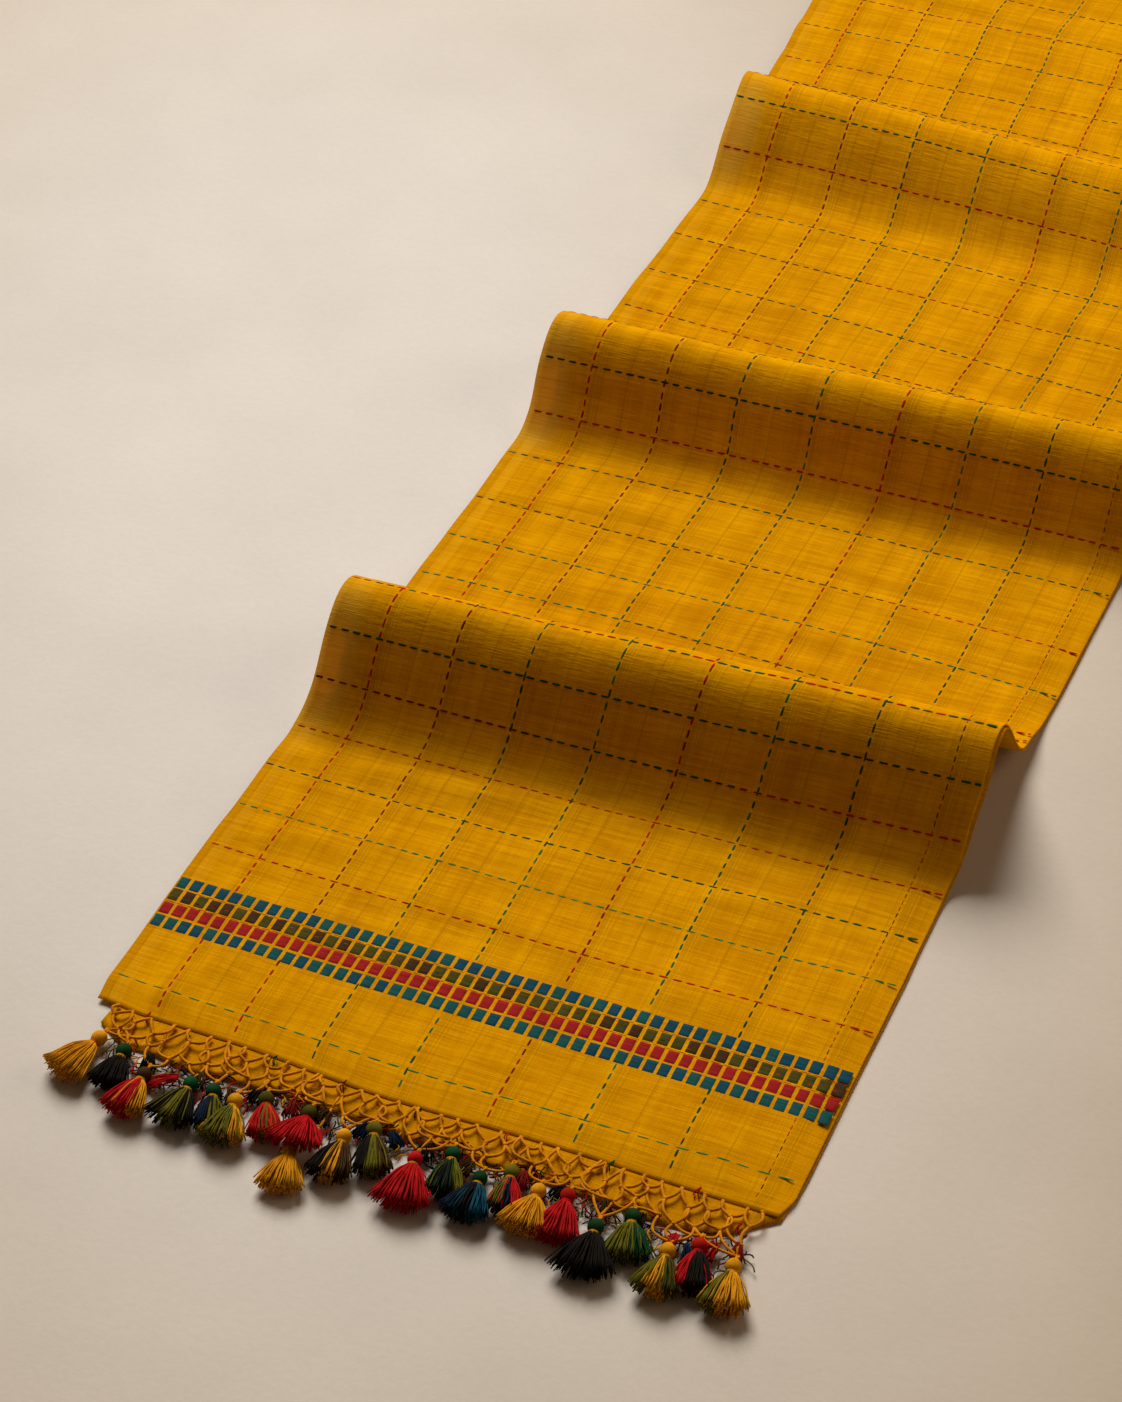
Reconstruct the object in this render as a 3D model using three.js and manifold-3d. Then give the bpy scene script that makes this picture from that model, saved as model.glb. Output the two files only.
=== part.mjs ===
// A handloom cotton saree laid out on a flat surface as a folded strip.
// The saree is one woven length. It is folded in three lengthwise, so the strip shows its top
// panel with two more panels under it. The strip rises over three cross rolls, and the rest of
// the length is folded back and forth into a flat pile at the far end. A knotted net and a row of
// tassels finish the near end.
// Units are millimetres. +X runs across the strip to the right, +Y along it away from the
// tassels, +Z up. The surface that the saree lies on is z = 0.
import * as THREE from "three";
import Module from "manifold-3d";

const wasm = await Module();
wasm.setup();

// ---- driving dimensions ----
const GAP = 0.3;                    // clearance between pieces that touch
const FACE_WALL = 1.0;              // top panel of the strip
const LAYER_WALL = 1.0;             // each hidden panel
const UNDER_WALL = 2 * LAYER_WALL;  // the two hidden panels together
const RIGHT_EDGE = 190;             // folded right edge
const HEM_Y = -8;                   // near hem of the top panel
const UNDER_FRONT_Y = -23;          // near edge of the panels below
const PILE_FRONT_Y = 1190;          // where the strip runs into the pile
const PANEL_LENGTH = 440;           // length of one panel of the pile
const PANEL_COUNT = 9;              // panels in the pile
const PANEL_RISE = 3.8;             // height that each panel adds
const SELVEDGE_TO_FOLD = 13;        // the first hidden edge is set in from the selvedge
const FOLD_TO_LAST = 11;            // the second hidden edge is set in from the first

// Cross rolls: crest position, height, the run up to the crest and down from it, how far the
// crest moves from the left edge to the right one, and how much taller the right end stands.
const ROLLS = [
  { crest: 294, height: 57, rise: 56, fall: 57, skew: 13, lift: 6 },
  { crest: 576, height: 48, rise: 58, fall: 58, skew: 8, lift: 3 },
  { crest: 875, height: 43, rise: 66, fall: 62, skew: 4, lift: -2 },
];

// The left edge of the top panel wanders a little: distance along the strip, and the edge there.
const LEFT_EDGE = [
  { y: -8, x: -192 },
  { y: 228, x: -192 },
  { y: 377, x: -187 },
  { y: 665, x: -181 },
  { y: 790, x: -178 },
  { y: 972, x: -189 },
  { y: 1190, x: -190 },
];

// Tassels: place of the ball head, turn of the skirt away from straight down the strip, reach of
// the skirt, half width of its tips, height its tips lie at, and colour.
const TASSELS = [
  { name: "tassel_01", x: -171, y: -33, turn: -9, reach: 29, spread: 12, lie: 4.8, colour: 0xc98a1e },
  { name: "tassel_02", x: -157.5, y: -38, turn: 5, reach: 22, spread: 10, lie: 0.5, colour: 0x1c1a1c },
  { name: "tassel_03", x: -143, y: -47, turn: 2, reach: 27, spread: 9, lie: 4.8, colour: 0xa8141f },
  { name: "tassel_04", x: -128, y: -45, turn: 22, reach: 27, spread: 9, lie: 4.8, colour: 0x4a4a16 },
  { name: "tassel_05", x: -110, y: -41, turn: 22, reach: 25, spread: 8, lie: 0.5, colour: 0x1b2836 },
  { name: "tassel_06", x: -93, y: -45, turn: 10, reach: 27, spread: 11, lie: 4.8, colour: 0x6d6417 },
  { name: "tassel_07", x: -79, y: -38, turn: 24, reach: 24, spread: 7, lie: 0.5, colour: 0x8e2415 },
  { name: "tassel_08", x: -55, y: -38, turn: 6, reach: 26, spread: 11, lie: 9.6, colour: 0xb01020 },
  { name: "tassel_09", x: -53, y: -64, turn: 12, reach: 25, spread: 11, lie: 0.5, colour: 0xcc8f25 },
  { name: "tassel_10", x: -32, y: -46, turn: 8, reach: 28, spread: 9, lie: 4.8, colour: 0x2a2418 },
  { name: "tassel_11", x: -20, y: -36, turn: 22, reach: 28, spread: 9, lie: 0.5, colour: 0x33391a },
  { name: "tassel_12", x: 7, y: -46, turn: 10, reach: 31, spread: 13, lie: 4.8, colour: 0xb0101c },
  { name: "tassel_13", x: 23, y: -36, turn: 14, reach: 26, spread: 9, lie: 0.5, colour: 0x1d2a1e },
  { name: "tassel_14", x: 42, y: -48, turn: 5, reach: 26, spread: 11, lie: 4.8, colour: 0x161d38 },
  { name: "tassel_15", x: 55, y: -36, turn: 12, reach: 24, spread: 8, lie: 0.5, colour: 0x5a5518 },
  { name: "tassel_16", x: 72, y: -46, turn: 4, reach: 26, spread: 12, lie: 4.8, colour: 0xcf9426 },
  { name: "tassel_17", x: 88, y: -40, turn: 8, reach: 28, spread: 9, lie: 0.5, colour: 0xbf141d },
  { name: "tassel_18", x: 107, y: -53, turn: 8, reach: 30, spread: 13, lie: 4.8, colour: 0x141316 },
  { name: "tassel_19", x: 121, y: -41, turn: 16, reach: 28, spread: 9, lie: 0.5, colour: 0x5b6418 },
  { name: "tassel_20", x: 145, y: -54, turn: 8, reach: 27, spread: 10, lie: 4.8, colour: 0x8a7d20 },
  { name: "tassel_21", x: 158, y: -45, turn: 12, reach: 27, spread: 8, lie: 0.5, colour: 0x3a141a },
  { name: "tassel_22", x: 178, y: -51, turn: 10, reach: 28, spread: 10, lie: 4.8, colour: 0x9c8420 },
];
const HEAD_RADIUS = 4.1;
const HEAD_HEIGHT = 4.5;      // centre of the ball head above the surface
const STRAND_WIDTH = 2.1;
const LOW_STRANDS = 5;        // strands along the underside of a skirt
const TOP_STRANDS = 3;        // strands that lie on them
const CORD_WIDTH = 1.7;
const CORD_LOW = UNDER_WALL + GAP + 0.1;
const CORD_HIGH = CORD_LOW + 1.6;
const NET_ROWS = [-9.5, -18, -27];   // knots of the net, from the hem outward

const CLOTH = { color: 0xc48a12, roughness: 0.88, metalness: 0 };
const UNDERCLOTH = { color: 0xa87410, roughness: 0.9, metalness: 0 };
const CORD = { color: 0xc07c12, roughness: 0.8, metalness: 0 };

// ---- shared shapes ----

function leftEdge(y) {
  const last = LEFT_EDGE[LEFT_EDGE.length - 1];
  if (y <= LEFT_EDGE[0].y) return LEFT_EDGE[0].x;
  for (let i = 1; i < LEFT_EDGE.length; i++) {
    const from = LEFT_EDGE[i - 1];
    const to = LEFT_EDGE[i];
    if (y <= to.y) {
      const t = (y - from.y) / (to.y - from.y);
      const eased = t * t * (3 - 2 * t);
      return from.x + (to.x - from.x) * eased;
    }
  }
  return last.x;
}

// How far a station line is turned from square across the strip, following the rolls.
function slant(along) {
  const marks = [{ y: 60, s: 0 }, ...ROLLS.map((r) => ({ y: r.crest, s: r.skew })), { y: 1060, s: 0 }];
  if (along <= marks[0].y || along >= marks[marks.length - 1].y) return 0;
  const next = marks.findIndex((m) => along < m.y);
  const from = marks[next - 1];
  const to = marks[next];
  const t = (along - from.y) / (to.y - from.y);
  return from.s + (to.s - from.s) * t * t * (3 - 2 * t);
}

// Place of the underside of the lowest panel, for a station along the strip and a distance across.
function bed(x, along) {
  const across = x / (2 * RIGHT_EDGE);
  let height = 0;
  for (const roll of ROLLS) {
    const run = along < roll.crest ? roll.rise : roll.fall;
    const t = 1 - Math.abs(along - roll.crest) / run;
    if (t > 0) height += (roll.height + roll.lift * across) * (0.5 - 0.5 * Math.cos(Math.PI * t));
  }
  return { y: along + slant(along) * across, z: height };
}

// A point held off the bed along the normal of the strip's long section.
function offBed(x, along, offset) {
  const here = bed(x, along);
  const before = bed(x, along - 0.5);
  const after = bed(x, along + 0.5);
  const rise = after.z - before.z;
  const run = after.y - before.y;
  const length = Math.hypot(rise, run);
  return new THREE.Vector3(x, here.y - (rise / length) * offset, here.z + (run / length) * offset);
}

// Stations along the strip, the same for every panel: wide apart on the flats, close on the rolls.
const STATIONS = [30, 100, 170, 480, 740, 1000, 1090];
for (const roll of ROLLS) {
  const from = roll.crest - roll.rise - 5;
  const to = roll.crest + roll.fall + 5;
  const steps = Math.round((to - from) / 7);
  for (let i = 0; i <= steps; i++) STATIONS.push(from + ((to - from) * i) / steps);
}
STATIONS.sort((a, b) => a - b);

function stations(from, to) {
  return [from, ...STATIONS.filter((y) => y > from + 1 && y < to - 1), to];
}

// A closed body from rings of points: every ring has the same count and the rings run in order.
// Each end is closed by the triangles that the two-dimensional outline is cut into, wound the
// way the outline runs.
function ringBody(rings, outline) {
  const count = rings[0].length;
  const points = [];
  const faces = [];
  for (const ring of rings) for (const p of ring) points.push(p.x, p.y, p.z);
  for (let j = 0; j + 1 < rings.length; j++) {
    for (let i = 0; i < count; i++) {
      const a = j * count + i;
      const b = j * count + ((i + 1) % count);
      faces.push(a, b, b + count, a, b + count, a + count);
    }
  }
  const end = (rings.length - 1) * count;
  const way = Math.sign(THREE.ShapeUtils.area(outline));
  for (const cut of THREE.ShapeUtils.triangulateShape(outline, [])) {
    const same = Math.sign(THREE.ShapeUtils.area(cut.map((k) => outline[k]))) === way;
    const [a, b, c] = same ? cut : [cut[0], cut[2], cut[1]];
    faces.push(a, c, b);
    faces.push(end + a, end + b, end + c);
  }
  const body = new THREE.BufferGeometry();
  body.setAttribute("position", new THREE.Float32BufferAttribute(points, 3));
  body.setIndex(faces);
  return body;
}

// Turns a body outward if its volume reads negative.
function outward(body) {
  const p = body.getAttribute("position");
  const index = body.getIndex().array;
  const a = new THREE.Vector3();
  const b = new THREE.Vector3();
  const c = new THREE.Vector3();
  let volume = 0;
  for (let i = 0; i < index.length; i += 3) {
    a.fromBufferAttribute(p, index[i]);
    b.fromBufferAttribute(p, index[i + 1]);
    c.fromBufferAttribute(p, index[i + 2]);
    volume += a.dot(b.cross(c)) / 6;
  }
  if (volume < 0) {
    for (let i = 0; i < index.length; i += 3) {
      const swap = index[i + 1];
      index[i + 1] = index[i + 2];
      index[i + 2] = swap;
    }
  }
  body.computeVertexNormals();
  return body;
}

function toSolid(body) {
  const mesh = new wasm.Mesh({
    numProp: 3,
    vertProperties: Float32Array.from(body.getAttribute("position").array),
    triVerts: Uint32Array.from(body.getIndex().array),
  });
  mesh.merge();
  return new wasm.Manifold(mesh);
}

function fromSolid(solid) {
  const mesh = solid.getMesh();
  const body = new THREE.BufferGeometry();
  body.setAttribute("position", new THREE.Float32BufferAttribute(mesh.vertProperties, 3));
  body.setIndex(Array.from(mesh.triVerts));
  body.computeVertexNormals();
  return body;
}

const group = new THREE.Group();
group.name = "saree";

function place(name, body, look) {
  const mesh = new THREE.Mesh(body, new THREE.MeshStandardMaterial(look));
  mesh.name = name;
  group.add(mesh);
}

// ---- the strip ----

// The outline of a panel's cross section: how far across it each corner lies, and how far off
// the bed. The top panel is one wall with softened edges.
function faceSection(y) {
  const left = leftEdge(y);
  const low = UNDER_WALL + GAP + 0.15;
  const high = low + FACE_WALL;
  return [
    [left, high],
    [RIGHT_EDGE, high],
    [RIGHT_EDGE + 0.5, (low + high) / 2],
    [RIGHT_EDGE, low],
    [left, low],
    [left - 0.5, (low + high) / 2],
  ];
}

// The two hidden panels share one body that steps at both edges.
function underSection(y) {
  const left = leftEdge(y) + SELVEDGE_TO_FOLD;
  const lowLeft = left + FOLD_TO_LAST;
  const right = RIGHT_EDGE - 0.6;
  const lowRight = RIGHT_EDGE - 3;
  return [
    [left, UNDER_WALL],
    [right, UNDER_WALL],
    [right, LAYER_WALL],
    [lowRight, LAYER_WALL],
    [lowRight, 0],
    [lowLeft, 0],
    [lowLeft, LAYER_WALL],
    [left, LAYER_WALL],
  ];
}

function strip(from, to, section) {
  const rings = stations(from, to).map((y) => section(y).map(([x, offset]) => offBed(x, y, offset)));
  const outline = section(from).map(([x, offset]) => new THREE.Vector2(x, offset));
  return outward(ringBody(rings, outline));
}

const cuts = ROLLS.map((roll) => roll.crest + roll.fall + 18);
const starts = [HEM_Y, ...cuts];
const ends = [...cuts, PILE_FRONT_Y];
const STRETCHES = ["end_stretch", "second_stretch", "third_stretch", "tail_stretch"];
STRETCHES.forEach((name, i) => {
  const from = starts[i] + (i > 0 ? GAP / 2 : 0);
  const to = ends[i] - GAP / 2;
  const underFrom = i > 0 ? from : UNDER_FRONT_Y;
  place(name, strip(from, to, faceSection), CLOTH);
  place(name.replace("stretch", "under_panels"), strip(underFrom, to, underSection), UNDERCLOTH);
});

// ---- the pile at the far end ----

// A long section through the pile: every panel turns back in a rounded fold at both ends.
function pileSection(count, length) {
  const section = [];
  const low = (i) => i * PANEL_RISE;
  const bulge = 2.2;
  section.push([0, 0]);
  section.push([length, 0]);
  for (let i = 0; i < count; i++) {
    section.push([length + bulge, low(i) + PANEL_RISE / 2]);
    section.push([length, low(i + 1)]);
  }
  section.push([0, low(count)]);
  for (let i = count - 1; i > 0; i--) {
    section.push([-bulge, low(i) + PANEL_RISE / 2]);
    section.push([0, low(i)]);
  }
  return section;
}

const pileHeight = PANEL_COUNT * PANEL_RISE;
const pileOutline = pileSection(PANEL_COUNT, PANEL_LENGTH).map(([y, z]) => new THREE.Vector2(y, z));
const pileRings = [-188, -183, -60, 60, 184, 189].map((x, i, all) => {
  const outer = i === 0 || i === all.length - 1;
  const inset = outer ? 4 : 0;
  return pileOutline.map((p) => {
    const scale = (PANEL_LENGTH - 2 * inset) / PANEL_LENGTH;
    const y = PILE_FRONT_Y + GAP / 2 + inset + p.x * scale;
    return new THREE.Vector3(x, y, outer ? 1.2 + p.y * 0.9 : p.y);
  });
});
place("folded_length", outward(ringBody(pileRings, pileOutline)), UNDERCLOTH);

const lidFront = PILE_FRONT_Y + GAP + 6;
const lidBack = PILE_FRONT_Y + PANEL_LENGTH - 4;
const lidOutline = [
  [-186, pileHeight + GAP],
  [-186, pileHeight + GAP + FACE_WALL],
  [186, pileHeight + GAP + FACE_WALL],
  [186, pileHeight + GAP],
];
const lidRings = [lidFront, lidBack].map((y) => lidOutline.map(([x, z]) => new THREE.Vector3(x, y, z)));
const lidFlat = lidOutline.map(([x, z]) => new THREE.Vector2(x, z));
place("far_end_panel", outward(ringBody(lidRings, lidFlat)), CLOTH);

// ---- the knotted net ----

// A straight run of cord between two knots, square in section.
function cord(from, to) {
  const run = new THREE.Vector2(to[0] - from[0], to[1] - from[1]);
  const along = run.clone().normalize().multiplyScalar(CORD_WIDTH * 0.45);
  const side = new THREE.Vector2(-along.y, along.x).normalize().multiplyScalar(CORD_WIDTH / 2);
  const corners = [
    [from[0] - along.x - side.x, from[1] - along.y - side.y],
    [to[0] + along.x - side.x, to[1] + along.y - side.y],
    [to[0] + along.x + side.x, to[1] + along.y + side.y],
    [from[0] - along.x + side.x, from[1] - along.y + side.y],
  ];
  const rings = [CORD_LOW, CORD_HIGH].map((z) => corners.map(([x, y]) => new THREE.Vector3(x, y, z)));
  return toSolid(outward(ringBody(rings, corners.map(([x, y]) => new THREE.Vector2(x, y)))));
}

// Rows of knots: the hem row and the second row sit above the heads, the row between sits
// half way along, so that the cords cross in diamonds.
function knots() {
  const heads = TASSELS.filter((t) => t.name !== "tassel_09").map((t) => t.x);
  const halves = heads.slice(1).map((x, i) => (x + heads[i]) / 2);
  const sway = (i) => 1.1 * Math.sin(i * 2.3);
  return {
    hem: heads.map((x) => [x + 1, NET_ROWS[0]]),
    middle: halves.map((x, i) => [x, NET_ROWS[1] + sway(i)]),
    low: heads.map((x, i) => [x, NET_ROWS[2] + 0.6 * sway(i + 3)]),
  };
}

const rows = knots();
const cords = [];
rows.middle.forEach((knot, i) => {
  cords.push(cord(rows.hem[i], knot));
  cords.push(cord(rows.hem[i + 1], knot));
  cords.push(cord(knot, rows.low[i]));
  cords.push(cord(knot, rows.low[i + 1]));
});
cords.push(cord(rows.hem[0], rows.low[0]));
cords.push(cord(rows.hem[rows.hem.length - 1], rows.low[rows.low.length - 1]));
TASSELS.filter((t) => t.name !== "tassel_09").forEach((tassel, i) => {
  const turn = THREE.MathUtils.degToRad(tassel.turn);
  const reach = HEAD_RADIUS + GAP + CORD_WIDTH * 0.45;
  const top = [tassel.x - Math.sin(turn) * reach, tassel.y + Math.cos(turn) * reach];
  cords.push(cord(rows.low[i], top));
});
// The tassel that lies in front of the others hangs on a cord of its own.
const front = TASSELS.find((t) => t.name === "tassel_09");
cords.push(cord(rows.middle[7], [-46.4, -36]));
cords.push(cord([-46.4, -36], [-46.6, -44]));
cords.push(cord([-46.6, -44], [front.x + 0.6, front.y + HEAD_RADIUS + GAP + CORD_WIDTH * 0.45]));
place("knotted_net", fromSolid(wasm.Manifold.union(cords)), CORD);

// ---- the tassels ----

function head(tassel) {
  const rings = 5;
  const sides = 8;
  const profile = [];
  for (let i = 0; i <= rings; i++) {
    const angle = -Math.PI / 2 + (Math.PI * i) / rings;
    const across = i === 0 || i === rings ? 0 : Math.cos(angle) * HEAD_RADIUS;
    profile.push(new THREE.Vector2(across, Math.sin(angle) * HEAD_RADIUS));
  }
  const ball = new THREE.LatheGeometry(profile, sides);
  ball.deleteAttribute("uv");
  ball.deleteAttribute("normal");
  ball.translate(tassel.x, tassel.y, HEAD_HEIGHT);
  return toSolid(ball);
}

// One strand: three-sided, from inside the head to its tip.
function strand(path, width) {
  const rings = path.map((p, i) => {
    const size = i === path.length - 1 ? width * 0.75 : width;
    const before = path[Math.max(i - 1, 0)];
    const after = path[Math.min(i + 1, path.length - 1)];
    const ahead = after.clone().sub(before).normalize();
    const side = new THREE.Vector3(0, 0, 1).cross(ahead).normalize();
    const up = ahead.clone().cross(side);
    return [0, 1, 2].map((k) => {
      const angle = Math.PI / 2 + (2 * Math.PI * k) / 3;
      const across = side.clone().multiplyScalar((Math.cos(angle) * size) / 1.7);
      return p.clone().add(across).add(up.clone().multiplyScalar((Math.sin(angle) * size) / 1.7));
    });
  });
  const outline = [0, 1, 2].map((k) => {
    const angle = Math.PI / 2 + (2 * Math.PI * k) / 3;
    return new THREE.Vector2(Math.cos(angle), Math.sin(angle));
  });
  return toSolid(outward(ringBody(rings, outline)));
}

function skirt(tassel) {
  const turn = THREE.MathUtils.degToRad(tassel.turn);
  const ahead = new THREE.Vector3(Math.sin(turn), -Math.cos(turn), 0);
  const side = new THREE.Vector3(Math.cos(turn), Math.sin(turn), 0);
  const neck = new THREE.Vector3(tassel.x, tassel.y, HEAD_HEIGHT);
  const list = [];
  const fan = (count, rise, share) => {
    for (let i = 0; i < count; i++) {
      const t = count > 1 ? (2 * i) / (count - 1) - 1 : 0;
      const reach = tassel.reach * (1 - 0.16 * t * t) * (1 - 0.05 * ((i * 7) % 3));
      const spread = tassel.spread * share * t;
      const lie = tassel.lie + rise + 0.8;
      const point = (f, s, z) => {
        const p = neck.clone().addScaledVector(ahead, f).addScaledVector(side, s);
        return p.setZ(z);
      };
      const bend = Math.max(HEAD_HEIGHT, lie + 0.8);
      list.push(strand([
        point(1.6, 0.9 * t, HEAD_HEIGHT + rise * 0.35),
        point(reach * 0.3, spread * 0.38, bend + rise * 0.2),
        point(reach * 0.68, spread * 0.78, (bend + lie * 2) / 3),
        point(reach, spread, lie),
      ], STRAND_WIDTH));
    }
  };
  fan(LOW_STRANDS, 0, 1);
  fan(TOP_STRANDS, 2.5, 0.72);
  return list;
}

for (const tassel of TASSELS) {
  const body = wasm.Manifold.union([head(tassel), ...skirt(tassel)]);
  place(tassel.name, fromSolid(body), { color: tassel.colour, roughness: 0.82, metalness: 0 });
}

// The origin is the middle of the whole saree's footprint, on the surface it lies on.
const box = new THREE.Box3().setFromObject(group);
group.position.set(-(box.min.x + box.max.x) / 2, -(box.min.y + box.max.y) / 2, 0);

export default group;
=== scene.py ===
import math
from functools import partial

import bpy
import numpy as np
from mathutils import Matrix, Vector


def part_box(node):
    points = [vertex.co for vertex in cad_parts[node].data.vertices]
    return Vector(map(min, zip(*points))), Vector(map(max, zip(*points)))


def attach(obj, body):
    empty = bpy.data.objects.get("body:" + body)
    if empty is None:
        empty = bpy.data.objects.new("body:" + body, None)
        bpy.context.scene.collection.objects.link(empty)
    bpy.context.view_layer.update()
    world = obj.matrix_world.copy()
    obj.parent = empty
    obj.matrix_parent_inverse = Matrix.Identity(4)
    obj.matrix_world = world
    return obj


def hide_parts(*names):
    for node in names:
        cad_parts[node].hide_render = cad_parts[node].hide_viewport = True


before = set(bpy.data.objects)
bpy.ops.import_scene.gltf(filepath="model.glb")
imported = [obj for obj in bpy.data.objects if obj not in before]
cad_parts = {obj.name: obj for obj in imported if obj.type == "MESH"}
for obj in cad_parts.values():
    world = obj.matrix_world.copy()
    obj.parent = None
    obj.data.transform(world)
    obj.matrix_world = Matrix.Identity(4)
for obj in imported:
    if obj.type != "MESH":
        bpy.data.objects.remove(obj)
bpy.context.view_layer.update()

# ---- where the strip lies ----
# Lengths below are millimetres in the strip's own numbers, unless they go straight to Blender.
# x runs across from its middle, and a station s runs along the floor from near the hem.

MM = 0.001
STRIP_WIDTH = 380.0
RIGHT = 190.0
HEM = -8.0
PILE_FRONT = 1190.0
PANEL_LENGTH = 440.0
PANELS = 9
UNDER_TOP = 2.05
RNG = np.random.default_rng(7)

low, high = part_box("end_stretch")
X0 = high[0] - 0.1905
Y0 = low[1] + 0.008

# Each roll: the station and height of its crest, how far it rises and falls, how much it skews and
# lifts from the left edge to the right one, and how square its front and back are.
ROLLS = [
    dict(crest=294, height=60, rise=80, fall=57, skew=13, lift=7, front=1.5, back=0.95),
    dict(crest=576, height=51.5, rise=69, fall=58, skew=8, lift=4, front=1.44, back=1.0),
    dict(crest=875, height=32, rise=79, fall=62, skew=-8, lift=-15, front=1.0, back=1.0),
]
# Behind the first roll the right side hangs clear of the floor.
HANG = dict(up=9.0, station=350, reach=20.0, start=110, run=80)
# The left edge: station and x.
LEFT_EDGE = [
    (-60, -192), (228, -192), (377, -187), (665, -181), (790, -178), (972, -189), (1190, -190), (1700, -190),
]
# Where the stitched warp lines lie, from the left edge.
WARPS = [33.1, 78.5, 123.8, 172.3, 221.3, 267.2, 317.2, 362.6]


def to_world(p):
    return np.asarray(p, float) * MM + np.array([X0, Y0, 0.0])


def ease(t):
    t = np.clip(t, 0.0, 1.0)
    return t * t * (3 - 2 * t)


def table(marks, at):
    """Eases from mark to mark, each a position and its value."""
    at = np.asarray(at, float)
    out = np.full(at.shape, float(marks[0][1]))
    for (a, value_a), (b, value_b) in zip(marks, marks[1:]):
        out = np.where(at >= a, value_a + (value_b - value_a) * ease((at - a) / (b - a)), out)
    return out


def left_edge(s):
    return table(LEFT_EDGE, s)


def across_to_x(frac, s):
    left = left_edge(s)
    return left + (RIGHT - left) * frac


def slant(s):
    """How far the right edge runs ahead of the left one."""
    return table([(60, 0)] + [(r["crest"], r["skew"]) for r in ROLLS] + [(1060, 0)], s)


LATTICE = 97


def noise(a, b, seed):
    """Smooth value noise on a seeded lattice, -1 to 1."""
    lattice = np.random.default_rng(seed).uniform(-1, 1, (LATTICE, LATTICE))
    ia = np.floor(a).astype(int)
    ib = np.floor(b).astype(int)
    fa = ease(a - ia)
    fb = ease(b - ib)

    def corner(i, j):
        return lattice[i % LATTICE, j % LATTICE]

    near = corner(ia, ib) * (1 - fa) + corner(ia + 1, ib) * fa
    painted_falloff = corner(ia, ib + 1) * (1 - fa) + corner(ia + 1, ib + 1) * fa
    return near * (1 - fb) + painted_falloff * fb


def near_rolls(s, ahead, width):
    """Highest just ahead of each roll's crest, and 0 away from it."""
    return sum(np.exp(-(((s - r["crest"] + ahead) / width) ** 2)) for r in ROLLS)


def humps(s, x):
    """The height of the bed that the cloth follows over the rolls."""
    across = x / STRIP_WIDTH
    z = np.zeros(np.broadcast(s, x).shape)
    for r in ROLLS:
        run = np.where(s < r["crest"], r["rise"], r["fall"])
        power = np.where(s < r["crest"], r["front"], r["back"])
        t = np.clip(1 - np.abs(s - r["crest"]) / run, 0, 1)
        z = z + (r["height"] + r["lift"] * across) * (0.5 - 0.5 * np.cos(np.pi * t)) ** power
    hang = np.exp(-(((s - HANG["station"]) / HANG["reach"]) ** 2))
    return z + HANG["up"] * hang * np.clip((x - HANG["start"]) / HANG["run"], 0, 1) ** 1.5


# Creases: x and station of the middle, half length, half width, turn in degrees
# from straight across, and height.
CREASES = [
    (-120, 150, 70, 9, 12, 1),
    (40, 120, 120, 12, -6, 1.1),
    (120, 195, 60, 8, 20, 0.9),
    (-60, 215, 110, 7, 4, 1.3),
    (-150, 25, 30, 9, 60, 1.2),
    (150, 10, 40, 10, -50, 1.2),
    (-20, 402, 130, 10, 3, 1.2),
    (100, 440, 90, 9, -5, 1.3),
    (-120, 470, 60, 8, 9, 1),
    (-40, 700, 120, 10, 5, 1.2),
    (110, 745, 90, 11, -7, 1.4),
    (-90, 780, 80, 8, 8, 1),
    (30, 1000, 130, 12, 4, 1.3),
    (-80, 1080, 90, 10, -6, 1.2),
    (90, 1140, 90, 9, 5, 1.1),
]


def relief(x, s):
    """How far the top panel puffs up off the panels under it."""
    z = 0.8 + 0.7 * noise(x / 55, s / 38, 11) + 0.3 * noise(x / 17, s / 21, 12)
    ripples = 0.14 * noise(x / 5.5, s / 16, 13) + 0.16 * noise((x + 0.5 * s) / 9, s / 11, 14)
    z = z + near_rolls(s, 0.0, 34.0) * ripples
    for mid_x, mid_s, half, wide, degrees, up in CREASES:
        turn = math.radians(degrees)
        dx = x - mid_x
        ds = s - mid_s
        along = dx * math.cos(turn) + ds * math.sin(turn)
        over = -dx * math.sin(turn) + ds * math.cos(turn)
        z = z + up * np.exp(-((over / wide) ** 2)) * np.exp(-((along / half) ** 4))
    return UNDER_TOP + (0.85 + np.maximum(z, 0.0)) * ease((s - HEM) / 20 + 0.05)


# The hem: x, and how far along it lies from its mean line.
HEM_LINE = [(-192, 4), (-159, 1), (-114, 1), (-21, -4), (75, -2), (165, -3), (192, -3)]


def hem_shift(x, s):
    """How far the cloth near the hem moves along with it."""
    return table(HEM_LINE, x) * ease((30 - s) / 38)


def corner_in(x, s):
    """The right fold runs in a little at its near corner."""
    return -5.0 * ease((8 - s) / 18) * ease((x - 150) / 40)


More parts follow.
